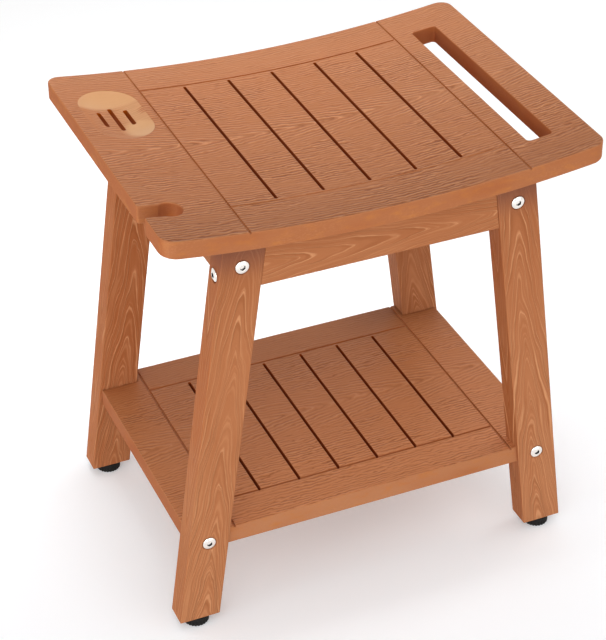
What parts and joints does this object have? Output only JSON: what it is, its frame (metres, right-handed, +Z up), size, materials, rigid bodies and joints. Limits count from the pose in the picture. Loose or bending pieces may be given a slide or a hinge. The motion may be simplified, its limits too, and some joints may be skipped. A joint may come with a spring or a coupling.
{
  "type": "shower bench",
  "caption": "Two-level shower bench with a dished slatted seat, soap dish, keyhole notch, handle slot, splayed legs, low slatted shelf and screw-in levelling feet.",
  "frame": {"origin": "on the floor under the middle of the seat", "axes": "+X along the seat towards the handle slot, +Y towards the back, where the soap dish is, +Z up"},
  "size_m": [0.45, 0.344, 0.478],
  "materials": {
    "seat_plastic": "satin, embossed with fine grain lines along the seat",
    "shelf_plastic": "satin, embossed with fine grain lines along the shelf",
    "leg_plastic": "satin, grain along the leg",
    "apron_plastic": "satin, wavy grain along the apron",
    "side_rail_plastic": "satin, wavy grain along the rail",
    "stainless": "polished",
    "zinc": "zinc plated",
    "foot_rubber": "matt"
  },
  "bodies": {
    "bench": {"seat_panel": "seat_plastic", "shelf_panel": "shelf_plastic", "leg_front_left": "leg_plastic", "leg_front_right": "leg_plastic", "leg_back_left": "leg_plastic", "leg_back_right": "leg_plastic", "apron_front": "apron_plastic", "apron_back": "apron_plastic", "side_rail_left": "side_rail_plastic", "side_rail_right": "side_rail_plastic", "face_bolts": "stainless", "side_bolts": "stainless", "shelf_bolts": "stainless", "seat_screws": "stainless", "side_rail_nuts": "zinc", "apron_nuts": "zinc", "shelf_nuts": "zinc", "leg_inserts": "zinc"},
    "stud_front_left": {"foot_stud_front_left": "zinc"},
    "pad_front_left": {"foot_pad_front_left": "foot_rubber"},
    "stud_front_right": {"foot_stud_front_right": "zinc"},
    "pad_front_right": {"foot_pad_front_right": "foot_rubber"},
    "stud_back_left": {"foot_stud_back_left": "zinc"},
    "pad_back_left": {"foot_pad_back_left": "foot_rubber"},
    "stud_back_right": {"foot_stud_back_right": "zinc"},
    "pad_back_right": {"foot_pad_back_right": "foot_rubber"}
  },
  "joints": [
    {"name": "foot_travel_front_left", "type": "slide", "parent": "bench", "child": "stud_front_left", "axis": [0, 0, -1], "range_m": [0, 0.008]},
    {"name": "foot_turn_front_left", "type": "hinge", "parent": "stud_front_left", "child": "pad_front_left", "pos_m": [-0.1971, -0.1375, 0.005], "axis": [0, 0, -1], "range_deg": [0, 2304]},
    {"name": "foot_travel_front_right", "type": "slide", "parent": "bench", "child": "stud_front_right", "axis": [0, 0, -1], "range_m": [0, 0.008]},
    {"name": "foot_turn_front_right", "type": "hinge", "parent": "stud_front_right", "child": "pad_front_right", "pos_m": [0.1971, -0.1375, 0.005], "axis": [0, 0, -1], "range_deg": [0, 2304]},
    {"name": "foot_travel_back_left", "type": "slide", "parent": "bench", "child": "stud_back_left", "axis": [0, 0, -1], "range_m": [0, 0.008]},
    {"name": "foot_turn_back_left", "type": "hinge", "parent": "stud_back_left", "child": "pad_back_left", "pos_m": [-0.1971, 0.1375, 0.005], "axis": [0, 0, -1], "range_deg": [0, 2304]},
    {"name": "foot_travel_back_right", "type": "slide", "parent": "bench", "child": "stud_back_right", "axis": [0, 0, -1], "range_m": [0, 0.008]},
    {"name": "foot_turn_back_right", "type": "hinge", "parent": "stud_back_right", "child": "pad_back_right", "pos_m": [0.1971, 0.1375, 0.005], "axis": [0, 0, -1], "range_deg": [0, 2304]}
  ],
  "couplings": [
    {"joint": "foot_travel_front_left", "follows": "foot_turn_front_left", "m_per_rad": 0.00019894},
    {"joint": "foot_travel_front_right", "follows": "foot_turn_front_right", "m_per_rad": 0.00019894},
    {"joint": "foot_travel_back_left", "follows": "foot_turn_back_left", "m_per_rad": 0.00019894},
    {"joint": "foot_travel_back_right", "follows": "foot_turn_back_right", "m_per_rad": 0.00019894}
  ]
}
